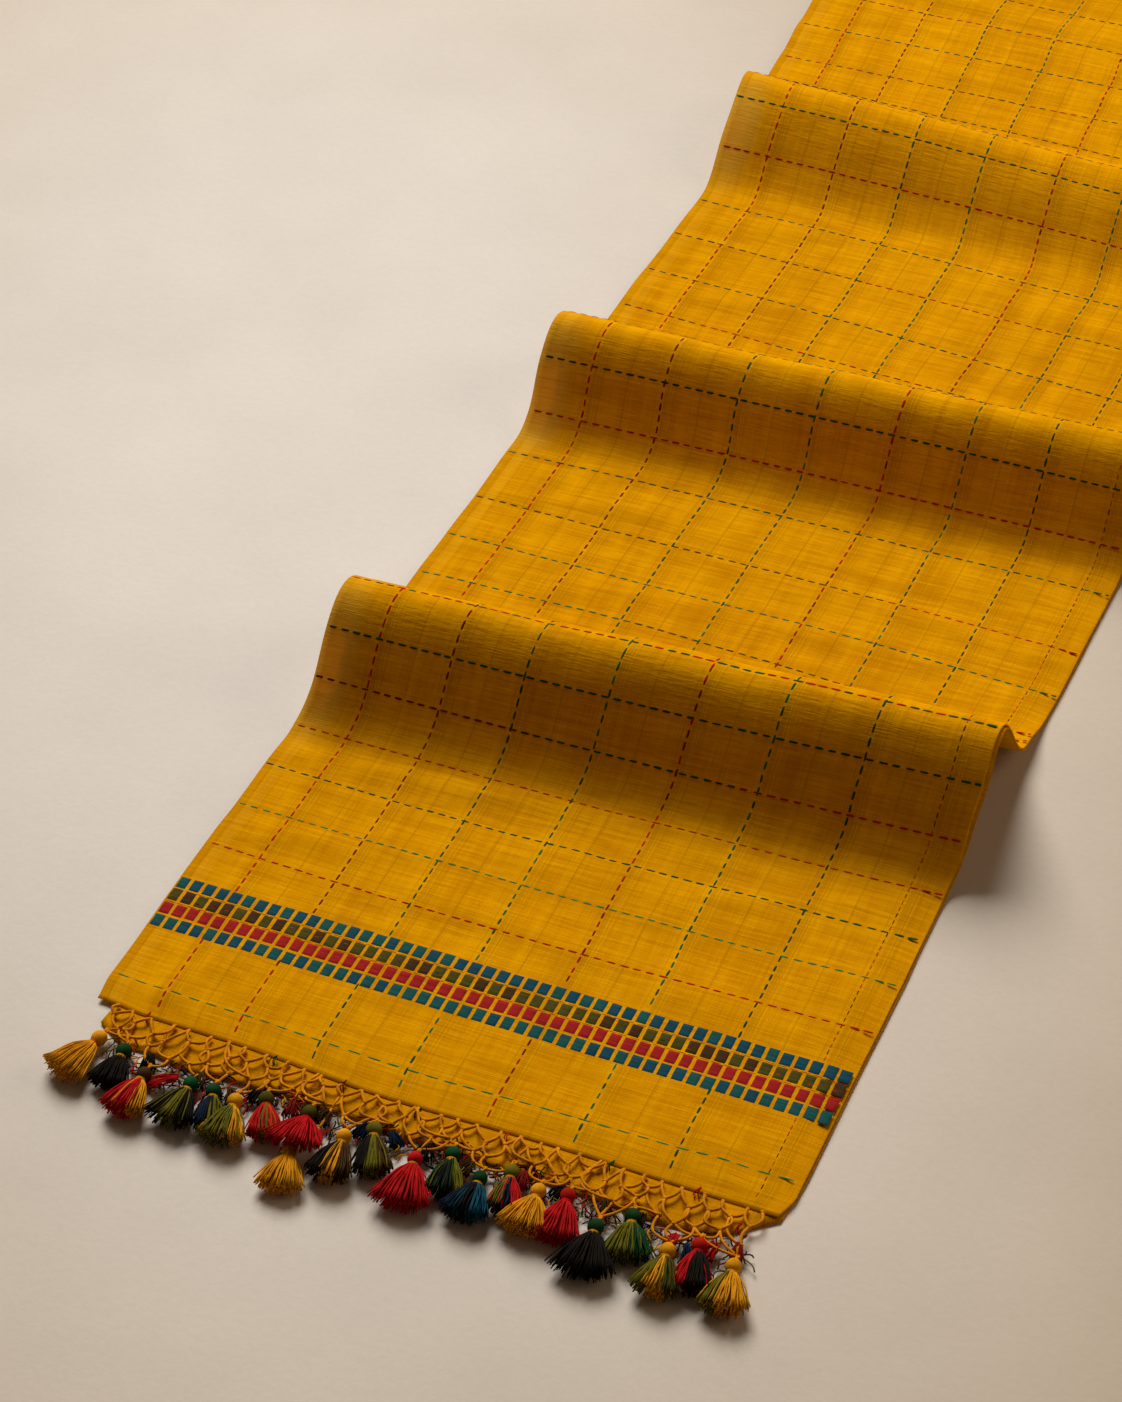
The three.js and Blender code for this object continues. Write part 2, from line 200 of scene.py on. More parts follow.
# How far the cloth has slipped sideways: its station, then the shift at the left edge, a third
# and two thirds across, and at the right edge.
SWAY = [
    (-8, -0.8, -3, -2.2, 0),
    (12, -2, -4.6, -2.4, -1),
    (120, -2, -4.3, -3.5, -2.3),
    (156, -0.5, -4.8, -5.5, -2.7),
    (191, -0.5, -5, -5.8, -3.4),
    (227, 0.3, -4.6, -6.6, -4),
    (256, 3, -2.8, -4, -1.5),
    (273, 2.6, -2.5, -2.5, 0.4),
    (297, 2.5, -1.4, -1, 0.4),
    (378, 1.9, 5.5, 4.2, 0.8),
    (412, 3, 6.2, 5.6, 1.5),
    (450, 2.7, 6.4, 5.6, 1.5),
    (501, 1.5, 7.2, 5.4, 1.9),
    (535, 1.5, 7.5, 6.8, 2),
    (555, -0.2, 5, 7.5, 2),
    (664, 1.5, 7.6, 9.5, 1),
    (700, 1.5, 9, 12, 1),
    (745, 1.5, 8.6, 12, 1),
    (785, 1.9, 8.4, 13, 1),
    (830, 0.6, 6.4, 9.4, 0.5),
    (857, 2.5, 6.2, 8.6, 0.5),
    (972, 0.8, 1, 0, 0),
    (1015, -2.5, -1.2, -1.5, 0),
    (1057, -4, -4, -5, 0),
    (1150, 0, 0, 0, 0),
]
SWAY_AT = np.arange(-60.0, 1200.0, 1.0)
SWAY_COLUMNS = [table([(row[0], row[1 + column]) for row in SWAY], SWAY_AT) for column in range(4)]


def sway(x, s):
    """The sideways slip of a point that would lie at x."""
    share = np.clip(x / STRIP_WIDTH + 0.5, 0, 1) * 3
    out = 0
    for column in range(4):
        near = np.maximum(0, 1 - np.abs(share - column))
        out = out + near * np.interp(s, SWAY_AT, SWAY_COLUMNS[column])
    return out


def bed(x, s):
    """Where a station lies along and above the floor."""
    across = x / STRIP_WIDTH
    return s + slant(s) * across, humps(s, x)


def place(x, s, off):
    """A point held off the bed along the normal of the long section."""
    y, z = bed(x, s)
    y1, z1 = bed(x, s - 0.5)
    y2, z2 = bed(x, s + 0.5)
    run = y2 - y1
    rise = z2 - z1
    length = np.hypot(run, rise)
    return np.stack([x + sway(x, s), y - rise / length * off, z + run / length * off], -1)


def top_face(x, s):
    """A point on the top panel's upper side."""
    x = x + 0 * s
    return place(x + corner_in(x, s), s + hem_shift(x, s), relief(x, s))


# Length along the cloth at each station.
ARC_AT = np.arange(-60.0, PILE_FRONT + 0.1, 1.0)
ARC_Y, ARC_Z = bed(np.zeros_like(ARC_AT), ARC_AT)
ARC_LENGTH = np.concatenate([[0.0], np.cumsum(np.hypot(np.diff(ARC_Y), np.diff(ARC_Z)))])
ARC_LENGTH = ARC_LENGTH - np.interp(HEM, ARC_AT, ARC_LENGTH)


def arc(s):
    """Length along the cloth from the hem to a station."""
    return np.interp(s, ARC_AT, ARC_LENGTH)


def station(v):
    """The station at a length along the cloth."""
    return np.interp(v, ARC_LENGTH, ARC_AT)


# ---- mesh helpers ----


def in_scene(name, data):
    obj = bpy.data.objects.new(name, data)
    bpy.context.collection.objects.link(obj)
    return obj


def new_object(name, verts, faces, uvs=None, mats=(), mat_index=None):
    mesh = bpy.data.meshes.new(name)
    mesh.from_pydata([tuple(v) for v in to_world(verts)], [], faces)
    if uvs is not None:
        layer = mesh.uv_layers.new(name="weave")
        loops = np.empty(len(mesh.loops), dtype=np.int64)
        mesh.loops.foreach_get("vertex_index", loops)
        layer.data.foreach_set("uv", np.asarray(uvs, dtype=np.float32)[loops].ravel())
    for m in mats:
        mesh.materials.append(m)
    if mat_index is not None:
        mesh.polygons.foreach_set("material_index", np.asarray(mat_index, dtype=np.int32))
    mesh.polygons.foreach_set("use_smooth", [True] * len(mesh.polygons))
    mesh.update()
    return in_scene(name, mesh)


def sheet_shell(outer, inner, uv):
    """A closed thin shell from an outer grid and an inner grid of the same shape."""
    rows, cols = outer.shape[:2]
    verts = np.concatenate([outer.reshape(-1, 3), inner.reshape(-1, 3)])
    uvs = np.concatenate([uv.reshape(-1, 2), uv.reshape(-1, 2)])
    count = rows * cols
    row, col = np.meshgrid(np.arange(rows - 1), np.arange(cols - 1), indexing="ij")
    a = (row * cols + col).ravel()
    over = np.stack([a, a + 1, a + 1 + cols, a + cols], -1)
    under = np.stack([a, a + cols, a + 1 + cols, a + 1], -1) + count
    ring = (
        list(range(cols - 1))
        + [r * cols + cols - 1 for r in range(rows - 1)]
        + [(rows - 1) * cols + c for c in range(cols - 1, 0, -1)]
        + [r * cols for r in range(rows - 1, 0, -1)]
    )
    rim = [(p, p + count, q + count, q) for p, q in zip(ring, ring[1:] + ring[:1])]
    faces = [tuple(q) for q in over] + [tuple(q) for q in under] + rim
    return verts, faces, uvs


def row_attribute(obj, name, rows, cols):
    """Gives each row of a shell's grid a value, on its outer and its inner points."""
    values = np.repeat(np.tile(rows, 2), cols).astype(np.float32)
    obj.data.attributes.new(name, "FLOAT", "POINT").data.foreach_set("value", values)


def directions(turn):
    """The ways ahead and to the side of a thread that is turned from straight out of the hem."""
    return np.array([math.sin(turn), -math.cos(turn), 0.0]), np.array([math.cos(turn), math.sin(turn), 0.0])


def laid(x, y, turn, along, across, z):
    """A path by its distances ahead of a point and to the side of it, at heights z."""
    ahead, side = directions(turn)
    path = np.array([x, y, 0.0]) + np.outer(along, ahead) + np.outer(across, side)
    path[:, 2] = z
    return path


def tube(path, radii, sides, verts, faces):
    """Adds a closed tube along a path to the lists."""
    path = np.asarray(path, float)
    n = len(path)
    ahead = np.gradient(path, axis=0)
    ahead /= np.linalg.norm(ahead, axis=1)[:, None] + 1e-9
    side = np.cross([0.0, 0.0, 1.0], ahead[0])
    if np.linalg.norm(side) < 1e-3:
        side = np.array([1.0, 0, 0])
    side /= np.linalg.norm(side)
    base = len(verts)
    radii = np.broadcast_to(radii, (n,))
    for k in range(n):
        side = side - ahead[k] * side.dot(ahead[k])
        side /= np.linalg.norm(side) + 1e-9
        up = np.cross(ahead[k], side)
        for m in range(sides):
            angle = 2 * math.pi * m / sides
            verts.append(path[k] + radii[k] * (side * math.cos(angle) + up * math.sin(angle)))
    for k in range(n - 1):
        for m in range(sides):
            a = base + k * sides + m
            b = base + k * sides + (m + 1) % sides
            faces.append((a, b, b + sides, a + sides))
    faces.append(tuple(base + m for m in range(sides - 1, -1, -1)))
    faces.append(tuple(base + (n - 1) * sides + m for m in range(sides)))


# ---- materials ----


def fill(tree, socket, value):
    """Links a socket to another one, or sets it to a number, a vector or a colour."""
    if isinstance(value, bpy.types.NodeSocket):
        tree.links.new(value, socket)
    else:
        socket.default_value = (*value, 1) if socket.type == "RGBA" else value


def new_node(tree, kind, **values):
    node = tree.nodes.new("ShaderNode" + kind)
    for key, value in values.items():
        fill(tree, node.inputs[key], value)
    return node


def principled(name, colour, roughness, specular):
    mat = bpy.data.materials.new(name)
    mat.use_nodes = True
    tree = mat.node_tree
    bsdf = tree.nodes["Principled BSDF"]
    fill(tree, bsdf.inputs["Base Color"], colour)
    fill(tree, bsdf.inputs["Roughness"], roughness)
    fill(tree, bsdf.inputs["Specular IOR Level"], specular)
    return mat, tree, bsdf


def math_node(tree, op, *values, clamp=False):
    node = new_node(tree, "Math")
    node.operation = op
    node.use_clamp = clamp
    for socket, value in zip(node.inputs, values):
        fill(tree, socket, value)
    return node.outputs[0]


def mix_colour(tree, factor, a, b, blend="MIX"):
    node = new_node(tree, "Mix")
    node.data_type = "RGBA"
    node.blend_type = blend
    for k, value in ((0, factor), (6, a), (7, b)):
        fill(tree, node.inputs[k], value)
    return node.outputs[2]


def stretched_noise(tree, vector, scale, detail, rough):
    mapping = new_node(tree, "Mapping", Scale=scale, Vector=vector)
    tex = new_node(tree, "TexNoise", Scale=1.0, Detail=detail, Roughness=rough, Vector=mapping.outputs[0])
    return tex.outputs["Fac"]


def bump_node(tree, height, strength, distance, **under):
    node = new_node(tree, "Bump", Height=height, Strength=strength, Distance=distance, **under)
    return node.outputs[0]


def attribute_node(tree, name):
    node = new_node(tree, "Attribute")
    node.attribute_name = name
    return node.outputs["Fac"]


def scaled(colour, share):
    return tuple(c * share for c in colour)


# Tone-on-tone ribs beside each stitched warp line and half way to the next: how far from the line,
# half width and strength.
RIBS = [(2.9, 1.3, 0.75), (5.4, 0.35, 1.0), (7.6, 0.9, 0.5), (23.5, 0.6, 0.8), (-3.2, 0.4, 0.6)]
# In metres: the selvedge's dense turned strip ends, its gauzy strip ends, one layer stops standing
# alone, and from one thread to the next.
TURNED_END = 0.0055
GAUZE_END = 0.0125
SINGLE_END = 0.024
WARP_PITCH = 0.00085
WEFT_PITCH = 0.00095


def cloth_material(name, base, dark, light):
    mat, tree, bsdf = principled(name, base, 0.9, 0.0)
    uv = new_node(tree, "UVMap")
    uv.uv_map = "weave"
    split = new_node(tree, "SeparateXYZ", Vector=uv.outputs[0])
    u, v = split.outputs[0], split.outputs[1]
    calc = partial(math_node, tree)
    blend = partial(mix_colour, tree)
    grain = partial(stretched_noise, tree, uv.outputs[0])
    # slubs run across the cloth, fainter warp threads along it
    slub = grain((42, 1500, 1), 3, 0.6)
    slub_wide = grain((16, 420, 1), 2, 0.5)
    warp = grain((1500, 30, 1), 2, 0.5)
    band = grain((210, 3, 1), 2, 0.5)
    plaid_u = grain((70, 2, 1), 1, 0.5)
    plaid_v = grain((2, 70, 1), 1, 0.5)
    streak = calc("MULTIPLY_ADD", slub, 1.0, calc("MULTIPLY", slub_wide, 0.7))
    for layer, share in ((warp, 0.5), (band, 0.35), (plaid_u, 0.5), (plaid_v, 0.4)):
        streak = calc("MULTIPLY_ADD", layer, share, streak)
    streak = calc("SUBTRACT", streak, 1.725)
    colour = blend(calc("MULTIPLY_ADD", streak, 2.0, 0.5, clamp=True), dark, light)
    # soft darker smudges where the weave is dense
    cloud = grain((26, 60, 1), 3, 0.55)
    shade = calc("MULTIPLY_ADD", calc("SUBTRACT", cloud, 0.5), 2.6, 0.1, clamp=True)
    colour = blend(calc("MULTIPLY", shade, 0.55), colour, scaled(dark, 0.74))
    ribs = 0.0
    for line in WARPS:
        for shift, wide, amount in RIBS:
            gap = calc("ABSOLUTE", calc("SUBTRACT", u, (line + shift) * MM))
            ribs = calc("ADD", calc("MULTIPLY", calc("LESS_THAN", gap, wide * MM), amount), ribs)
    broken = calc("MULTIPLY", ribs, calc("MULTIPLY_ADD", slub_wide, 1.1, 0.12))
    colour = blend(calc("MULTIPLY", broken, 0.52), colour, scaled(base, 0.5))
    # the selvedge
    turned = calc("LESS_THAN", u, TURNED_END)
    # the gauzy strip is painted a little paler: partly its open weave, partly a painted glow of light
    # shining through it
    gauze_glow = calc("MULTIPLY", calc("GREATER_THAN", u, TURNED_END), calc("LESS_THAN", u, GAUZE_END))
    colour = blend(calc("MULTIPLY", gauze_glow, 0.2), colour, (0.80, 0.42, 0.02))
    colour = blend(calc("MULTIPLY", turned, 0.18), colour, scaled(dark, 0.6))
    # painted glow: a streaky paler patch painted where one layer alone stands in a roll's front, in place of
    # light shining through it
    single = calc("MULTIPLY", calc("SUBTRACT", SINGLE_END, u), 90.0, clamp=True)
    standing = calc("MULTIPLY", single, attribute_node(tree, "front"))
    painted_glow = calc("MULTIPLY", standing, calc("MULTIPLY_ADD", slub, 2.6, -0.35), clamp=True)
    colour = blend(calc("MULTIPLY", painted_glow, 0.85), colour, (1.0, 0.60, 0.06))
    fill(tree, bsdf.inputs["Base Color"], colour)
    # the relief of the threads, slubs and ribs
    threads_u = calc("SINE", calc("MULTIPLY", u, 2 * math.pi / WARP_PITCH))
    threads_v = calc("SINE", calc("MULTIPLY", v, 2 * math.pi / WEFT_PITCH))
    plain = calc("MULTIPLY", threads_u, threads_v)
    height = calc("MULTIPLY_ADD", plain, 0.25, calc("MULTIPLY", slub, 1.3))
    for layer, share in ((warp, 0.5), (slub_wide, 0.7), (broken, 0.5)):
        height = calc("MULTIPLY_ADD", layer, share, height)
    woven = bump_node(tree, height, 0.5, 0.0004)
    # fine ripples that run along the crest of each roll
    ripple = calc("MULTIPLY", grain((110, 520, 1), 2, 0.55), attribute_node(tree, "crest"))
    rippled = bump_node(tree, ripple, 1.0, 0.00042, Normal=woven)
    fill(tree, bsdf.inputs["Normal"], rippled)
    # thin cotton lets a little light through, most in the painted glow patch
    through = new_node(tree, "BsdfTranslucent", Color=colour, Normal=rippled)
    both = new_node(tree, "MixShader", Fac=calc("MULTIPLY_ADD", painted_glow, 0.34, 0.03))
    fill(tree, both.inputs[1], bsdf.outputs[0])
    fill(tree, both.inputs[2], through.outputs[0])
    fill(tree, tree.nodes["Material Output"].inputs["Surface"], both.outputs[0])
    return mat


def thread_material(name, colour, ribbed=False):
    mat, tree, bsdf = principled(name, colour, 0.75, 0.05)
    calc = partial(math_node, tree)
    spot = new_node(tree, "TexCoord").outputs["Object"]
    scale = (90, 850, 850) if ribbed else (700, 700, 700)
    fine = stretched_noise(tree, spot, scale, 3, 0.6)
    broad = stretched_noise(tree, spot, (150, 150, 150), 2, 0.5)
    light = tuple(min(1, c * 1.4 + 0.002) for c in colour)
    tone = calc("MULTIPLY_ADD", fine, 1.6 if ribbed else 0.7, -0.5)
    tone = calc("ADD", tone, calc("MULTIPLY", broad, 0.4 if ribbed else 1.2))
    mixed = mix_colour(tree, tone, scaled(colour, 0.55), light)
    fill(tree, bsdf.inputs["Base Color"], mixed)
    fill(tree, bsdf.inputs["Normal"], bump_node(tree, fine, 0.5, 0.0004))
    return mat


cloth = cloth_material(
    "mustard_cotton",
    base=(0.68, 0.290, 0.001),
    dark=(0.57, 0.225, 0.0006),
    light=(0.80, 0.375, 0.0014),
)
# a darker copy of the same cloth: painted shade for the layers that lie under the top panel
shaded_under_cloth = cloth_material(
    "mustard_cotton_under_shaded",
    base=(0.62, 0.26, 0.001),
    dark=(0.52, 0.20, 0.0006),
    light=(0.72, 0.32, 0.0014),
)

THREADS = {
    "red": (0.38, 0.009, 0.001),
    "dark_red": (0.16, 0.008, 0.003),
    "teal": (0.007, 0.128, 0.036),
    "pale_teal": (0.04, 0.18, 0.034),
    "dark_teal": (0.003, 0.064, 0.019),
    "green": (0.006, 0.045, 0.010),
    "olive": (0.055, 0.052, 0.003),
    "orange": (0.46, 0.055, 0.002),
    "gold": (0.62, 0.265, 0.004),
    "black": (0.008, 0.006, 0.004),
    "blue": (0.003, 0.06, 0.10),
    "navy": (0.004, 0.012, 0.035),
    "moss": (0.12, 0.11, 0.005),
    "brown": (0.055, 0.024, 0.004),
    "yellow_cord": (0.60, 0.225, 0.002),
    "crimson": (0.42, 0.005, 0.007),
    "block_red": (0.30, 0.009, 0.009),
    "block_teal": (0.006, 0.074, 0.076),
    "block_blue": (0.004, 0.054, 0.086),
    "block_olive": (0.060, 0.052, 0.004),
    "block_brown": (0.050, 0.022, 0.004),
}
thread = {k: thread_material("thread_" + k, c, ribbed=k.startswith("block")) for k, c in THREADS.items()}

# ---- the top panel, with the fold along its right edge ----

ROWS = 430
COLS = 88
TOP_THICK = 0.45
FOLD_STEPS = 5
FOLD_COLS = FOLD_STEPS + 2
FOLD_RADIUS = 0.62

v_rows = np.linspace(0.0, arc(PILE_FRONT), ROWS)
s_rows = station(v_rows)
fracs = np.linspace(0, 1, COLS)
S, FRAC = np.meshgrid(s_rows, fracs, indexing="ij")
X = across_to_x(FRAC, S)
# the right fold stands open on the front of each roll
fold_off = UNDER_TOP + 0.25 + 1.1 * near_rolls(s_rows, 20, 34.0)
OFF = fold_off[:, None] + (relief(X, S) - fold_off[:, None]) * ease((1 - FRAC) * 30)
X_IN = X + corner_in(X, S)
S_IN = S + hem_shift(X, S)
right_col = RIGHT + 0 * s_rows
right_x = RIGHT + corner_in(right_col, s_rows)
right_s = s_rows + hem_shift(right_col, s_rows)


def fold_columns(radius):
    """A half turn of small radius, then a short return under the panel."""
    columns = []
    for k in range(1, FOLD_COLS + 1):
        angle = math.pi * min(k, FOLD_STEPS) / FOLD_STEPS
        back = max(0, k - FOLD_STEPS) * 6.0
        off = fold_off - FOLD_RADIUS + radius * math.cos(angle)
        columns.append(place(right_x + radius * math.sin(angle) - back, right_s, off))
    return np.stack(columns, 1)


outer = np.concatenate([place(X_IN, S_IN, OFF), fold_columns(FOLD_RADIUS)], 1)
inner = np.concatenate([place(X_IN, S_IN, OFF - TOP_THICK), fold_columns(0.22)], 1)
u_cols = np.concatenate([fracs * STRIP_WIDTH, STRIP_WIDTH + np.arange(1, FOLD_COLS + 1) * 1.2])
uv = np.stack(np.meshgrid(u_cols * MM, v_rows * MM), -1)
verts, faces, uvs = sheet_shell(outer, inner, uv)
top_panel = new_object("saree_top_panel", verts, faces, uvs, [cloth])
row_attribute(top_panel, "crest", near_rolls(s_rows, 14, 22.0), outer.shape[1])
row_attribute(top_panel, "front", near_rolls(s_rows, 34, 24.0), outer.shape[1])
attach(top_panel, "root")
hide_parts("end_stretch", "second_stretch", "third_stretch", "tail_stretch")

# ---- the two hidden panels, one sheet folded at the left ----

UNDER_FRONT = -23.0
UNDER_ROWS = 300
UNDER_COLS = 22
UNDER_THICK = 0.38
# How far the under cloth shows past the hem: x, and how far along.
FRONT_LINE = [
    (-192, -8), (-181, -19), (-162, -29), (-122, -30), (-65, -30), (-38, -29), (-9, -31),
    (25, -33), (70, -32), (112, -33), (140, -36), (164, -34), (178, -24), (190, -12),
]


def front_edge(x):
    return table(FRONT_LINE, x) + 1.6 * noise(x / 11, x * 0 + 8, 22)


v_under = np.linspace(arc(UNDER_FRONT), arc(PILE_FRONT), UNDER_ROWS)
s_under = station(v_under)
# Columns around the sheet: which part, how far through it, and how high off the bed.
UNDER_PATH = (
    [("middle", k / (UNDER_COLS - 1), 1.55) for k in range(UNDER_COLS)]
    + [("turn", k / 6.0, 1.0) for k in range(1, 6)]
    + [("last", k / (UNDER_COLS - 1), 0.45) for k in range(UNDER_COLS)]
)


def under_grid(thick):
    """One face of the sheet; thick is how far it lies inside the outer face."""
    s = s_under
    left = left_edge(s) + 14 + 1.6 * noise(s / 60, s * 0, 31) - 5 * ease((6 - s) / 24)
    middle_right = RIGHT - 0.5
    last_left = left + 0.2
    # the last panel shows past the fold, most on the first roll's front
    last_right = RIGHT + 1.0 + 0.7 * noise(s / 40, s * 0 + 5, 32)
    last_right = last_right + 1.7 * np.exp(-(((s - 262) / 42.0) ** 2))
    columns = []
    for part, share, off in UNDER_PATH:
        if part == "middle":
            x = middle_right + (left - middle_right) * share
            off = off - thick
        elif part == "last":
            x = last_left + (last_right - last_left) * share
            off = off + thick
        else:
            radius = 0.55 - thick
            x = left - radius * math.sin(math.pi * share)
            off = off + radius * math.cos(math.pi * share)
        shift = np.where(s < 40, (front_edge(x) - UNDER_FRONT) * ease((40 - s) / 62), 0)
        pressed = 1 - 0.4 * ease((-9 - s) / 14)
        points = place(x - 4.0 * ease((16 - s) / 44) * ease((x - 95) / 95), s, off * pressed)
        points[:, 1] += shift
        points[:, 2] = np.maximum(points[:, 2], 0.05)
        columns.append(points)
    return np.stack(columns, 1)


u_under = np.concatenate(
    [np.linspace(380, 746, UNDER_COLS), 746 + np.arange(1, 6) * 0.4, np.linspace(749, 1115, UNDER_COLS)]
)
uv = np.stack(np.meshgrid((u_under % STRIP_WIDTH) * MM, v_under * MM), -1)
verts, faces, uvs = sheet_shell(under_grid(0.0), under_grid(UNDER_THICK), uv)
under_panels = new_object("saree_under_panels", verts, faces, uvs, [shaded_under_cloth])
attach(under_panels, "root")
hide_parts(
    "end_under_panels", "second_under_panels", "third_under_panels", "tail_under_panels"
)

# ---- the pile at the far end: the same three panels, folded back and forth ----

RISE = 3.75
PILE_MIDDLE = 1.6
LAYER_GAP = 1.1
PILE_THICK = 0.4
PILE_COLS = 26
# Each layer's name, its two side edges and its order from the bottom of an even panel. The middle
# one runs back from the right.
PILE_LAYERS = [
    ("pile_top_layer", -189.0, 189.5, 1),
    ("pile_middle_layer", 189.0, -176.0, 0),
    ("pile_last_layer", -175.0, 186.5, -1),
]
panel_shift = RNG.uniform(-1.8, 1.8, PANELS + 1)
fold_out = RNG.uniform(-2.5, 1.5, PANELS + 1)


def pile_path(order):
    """Rows of y, z and sideways shift along one layer of the pile."""
    rows = []
    offset = LAYER_GAP * order
    for i in range(PANELS):
        centre = PILE_MIDDLE + RISE * i
        way = 1 if i % 2 == 0 else -1
        start = PILE_FRONT + 4 + fold_out[i]
        end = PILE_FRONT + PANEL_LENGTH - 2 - fold_out[i + 1]
        if i == 0:
            start = PILE_FRONT
        if i == PANELS - 1:
            end = PILE_FRONT + PANEL_LENGTH - 9 - 2.5 * (1 - order)
        a, b = (start, end) if way > 0 else (end, start)
        for k in range(15):
            rows.append((a + (b - a) * k / 14, centre + offset * way, panel_shift[i]))
        if i < PANELS - 1:
            radius = (RISE - 2 * offset * way) / 2
            for k in range(1, 6):
                angle = math.pi * k / 6
                y = b + way * radius * math.sin(angle)
                z = centre + RISE / 2 - radius * math.cos(angle)
                rows.append((y, z, panel_shift[i] + (panel_shift[i + 1] - panel_shift[i]) * k / 6))
    return np.array(rows)


for name, first, last, order in PILE_LAYERS:
    path = pile_path(order)
    along = np.concatenate([[0], np.cumsum(np.hypot(np.diff(path[:, 0]), np.diff(path[:, 1])))])
    normal = np.stack([-np.gradient(path[:, 1]), np.gradient(path[:, 0])], -1)
    normal /= np.linalg.norm(normal, axis=1)[:, None]
    normal_y, normal_z = normal[:, :1], normal[:, 1:]
    frac = np.linspace(0, 1, PILE_COLS)
    px = (first + (last - first) * frac)[None, :] + path[:, 2:]
    puff = 0.35 * noise(px / 40, along[:, None] / 33 + px * 0, 41 + order)
    py = path[:, :1] + normal_y * puff
    pz = np.maximum(path[:, 1:2] + normal_z * puff, 0.3)
    over = np.stack([px, py, pz], -1)
    under = np.stack([px, py - normal_y * PILE_THICK, np.maximum(pz - normal_z * PILE_THICK, 0.02)], -1)
    uv = np.stack(np.meshgrid(frac * STRIP_WIDTH * MM, (along + arc(PILE_FRONT)) * MM), -1)
    verts, faces, uvs = sheet_shell(over, under, uv)
    piece = new_object(name, verts, faces, uvs, [cloth if order == 1 else shaded_under_cloth])
    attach(piece, "root")
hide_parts("far_end_panel")
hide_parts("folded_length")


def pile_top(p, v):
    """The top face of the pile: p along its width from the left, v back from its front fold."""
    x = -189 + 378.5 * p / STRIP_WIDTH + panel_shift[PANELS - 1]
    z = PILE_MIDDLE + RISE * (PANELS - 1) + LAYER_GAP + 0.1
    pts = np.stack([x + 0 * v, PILE_FRONT + 4 + v + 0 * p, z + 0.35 + 0 * p + 0 * v], -1)
    return pts, np.broadcast_to(np.array([0, 0, 1.0]), pts.shape)


# ---- running stitches ----

# Each weft line: its station at the left edge, the middle and the right edge, and its colours.
WEFTS = [
    (12.5, 11, 14, ("pale_teal",)),
    (123.5, 118.5, 121.5, ("red",)),
    (158, 155.5, 157, ("pale_teal",)),
    (194.5, 190, 192, ("dark_teal",)),
    (231, 226, 227, ("red",)),
    (255.5, 252.5, 252.5, ("dark_red", "dark_teal", "red")),
    (273.5, 271, 271, ("green", "dark_teal")),
    (300, 296.5, 295, ("red", "olive", "red", "dark_teal")),
    (328, 328, 328, ("dark_red", "dark_teal")),
    (350, 350, 350, ("red",)),
    (379.5, 376, 356.5, ("teal", "olive", "red")),
    (417, 412, 402, ("teal",)),
    (456, 450, 442.5, ("olive", "olive", "red")),
    (502, 501.5, 498.5, ("green", "teal")),
    (535, 535, 533.5, ("red",)),
    (556.5, 556, 554, ("green", "dark_teal", "dark_teal")),
    (587, 585, 583, ("olive", "dark_teal", "olive")),
    (624, 624, 624, ("dark_teal",)),
    (666, 653, 640, ("olive", "red")),
    (706.5, 692, 677.5, ("dark_teal",)),
    (747, 738.5, 729.5, ("olive", "red", "olive")),
    (787, 780.5, 776, ("dark_teal",)),
    (830.5, 830, 825, ("red",)),
    (859.5, 861.5, 860, ("dark_teal",)),
    (889, 887, 888, ("dark_teal", "green")),
    (912, 908, 906, ("red",)),
    (940, 938, 936, ("olive",)),
    (968.5, 974, 979.5, ("olive", "red")),
    (1014, 1015.5, 1016.5, ("dark_teal",)),
    (1058.5, 1057.5, 1057, ("red", "olive")),
    (1096, 1094, 1092, ("green",)),
    (1132, 1131, 1130, ("red",)),
    (1166, 1165, 1164, ("dark_teal",)),
]
WARP_COLOURS = [
    ("red",),
    ("dark_red", "dark_red", "dark_red", "dark_teal"),
    ("dark_teal",),
    ("dark_teal", "teal"),
    ("red", "red", "dark_red"),
    ("dark_teal", "teal"),
    ("dark_teal", "green"),
    ("orange", "brown"),
]
stitch = {k: ([], []) for k in THREADS}


def add_patch(points, colour):
    """A small raised patch: an array of rows and columns of points, open below."""
    verts, faces = stitch[colour]
    rows, cols = points.shape[:2]
    base = len(verts)
    verts.extend(points.reshape(-1, 3))
    for j in range(rows - 1):
        for i in range(cols - 1):
            a = base + j * cols + i
            faces.append((a, a + 1, a + 1 + cols, a + cols))


def dash(at, start, end, wide, colour, lift=0.28):
    """A stitch along the first number of at(p, q), from start to end, q across it."""
    p = np.linspace(start, end, 6)
    q = np.array([-1.0, -0.45, 0.45, 1.0]) * wide / 2
    along, over = np.meshgrid(p, q, indexing="ij")
    ends = np.sin(np.pi * np.linspace(0.0, 1.0, 6)) ** 0.3
    height = lift * ends[:, None] * np.array([0.0, 1.0, 1.0, 0.0])[None, :] - 0.06
    pts, norm = at(along, over * (0.6 + 0.4 * ends)[:, None])
    add_patch(pts + norm * height[..., None], colour)


def cloth_at(x, s):
    """A point on the top panel and the way out of it there."""
    pts = top_face(x, s)
    ahead = top_face(x, s + 0.4) - pts
    side = top_face(x + 0.4, s) - pts
    norm = np.cross(side, ahead)
    norm /= np.linalg.norm(norm, axis=-1)[..., None]
    return pts, norm


def any_of(colours):
    return colours[int(RNG.integers(len(colours)))]


def weft_colour(colours, share):
    """Three colours take a third of the line each, and fewer are mixed."""
    return colours[min(int(share * 3), 2)] if len(colours) == 3 else any_of(colours)


PITCH = 7.2
EDGE_WARP = len(WARPS) - 1
# The warp lines are woven under the block band here, along the cloth.
BAND_START, BAND_END = 61, 102

